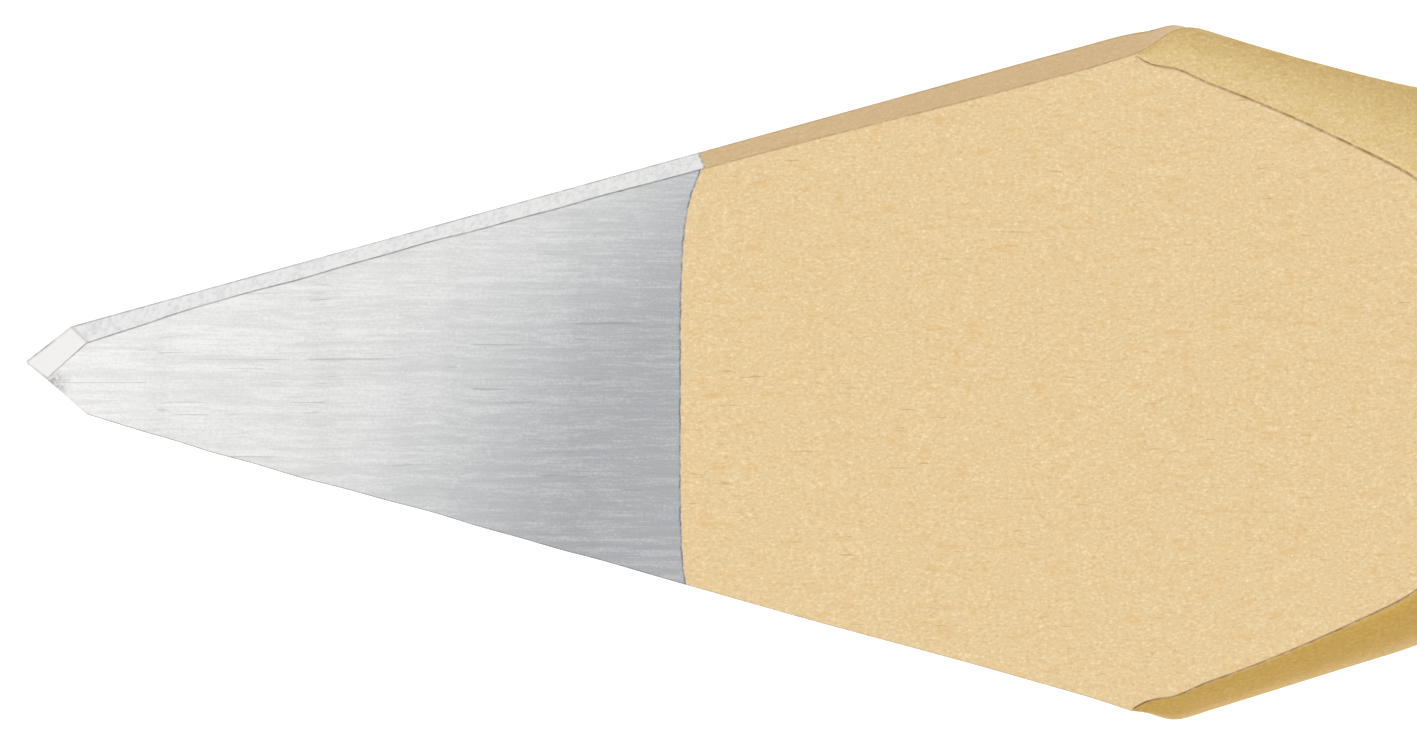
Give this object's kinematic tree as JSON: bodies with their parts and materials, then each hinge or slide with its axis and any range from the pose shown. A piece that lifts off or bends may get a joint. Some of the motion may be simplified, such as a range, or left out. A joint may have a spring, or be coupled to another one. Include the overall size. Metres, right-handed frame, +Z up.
{
  "type": "lino cutter",
  "caption": "Lino cutter with a pointed knife nib in a collet chuck and a pear-shaped wooden handle that stores spare gouges under a pull-out cap.",
  "frame": {"origin": "on the flat under the handle's bulb, halfway along the tool, below its axis", "axes": "+X along the tool from the nib's point to the cap, +Y to the side, +Z up, the way the nib's ground face looks"},
  "size_m": [0.1396, 0.032, 0.0274],
  "materials": {
    "gilt_coating": "matte gold coating on stamped steel, bare ground steel at the point",
    "tool_steel": "fine ground and brushed steel",
    "turned_brass": "turned brass with a light satin polish",
    "lacquered_beech": "turned beech under clear satin lacquer",
    "black_acetal": "turned black acetal",
    "ivory_nylon": "moulded ivory nylon",
    "black_rubber": "matte black rubber",
    "grey_felt": "pressed wool felt"
  },
  "bodies": {
    "root": {"handle": "lacquered_beech", "ferrule": "turned_brass", "cross_pin": "tool_steel", "chuck_base": "turned_brass", "collet": "tool_steel", "core_pin": "tool_steel", "storage_tube": "turned_brass", "felt_pad": "grey_felt", "rear_collar": "turned_brass"},
    "knife": {"nib": "gilt_coating"},
    "closer": {"slip_ring": "tool_steel"},
    "nut": {"chuck_nut": "turned_brass"},
    "cap": {"end_cap": "turned_brass", "cap_plug": "black_acetal", "cap_o_ring": "black_rubber", "cap_screw": "tool_steel", "cap_washer": "tool_steel"},
    "rack": {"nib_rack": "ivory_nylon", "rack_band": "black_rubber", "v_liner": "gilt_coating", "v_gouge": "gilt_coating", "u_gouge": "gilt_coating", "wide_gouge": "gilt_coating"}
  },
  "joints": [
    {"name": "nib_slide", "type": "slide", "parent": "root", "child": "knife", "axis": [-1, 0, 0], "range_m": [0, 0.016]},
    {"name": "nut_travel", "type": "slide", "parent": "root", "child": "closer", "axis": [-1, 0, 0], "range_m": [0, 0.002]},
    {"name": "nut_spin", "type": "hinge", "parent": "closer", "child": "nut", "pos_m": [-0.0398, 0, 0.0114], "axis": [-1, 0, 0], "range_deg": [0, 720]},
    {"name": "cap_pull", "type": "slide", "parent": "root", "child": "cap", "axis": [1, 0, 0], "range_m": [0, 0.052]},
    {"name": "rack_turn", "type": "hinge", "parent": "cap", "child": "rack", "pos_m": [0.0527, 0, 0.0114], "axis": [1, 0, 0], "continuous": true}
  ],
  "couplings": [
    {"joint": "nut_travel", "follows": "nut_spin", "m_per_rad": 0.000159}
  ]
}
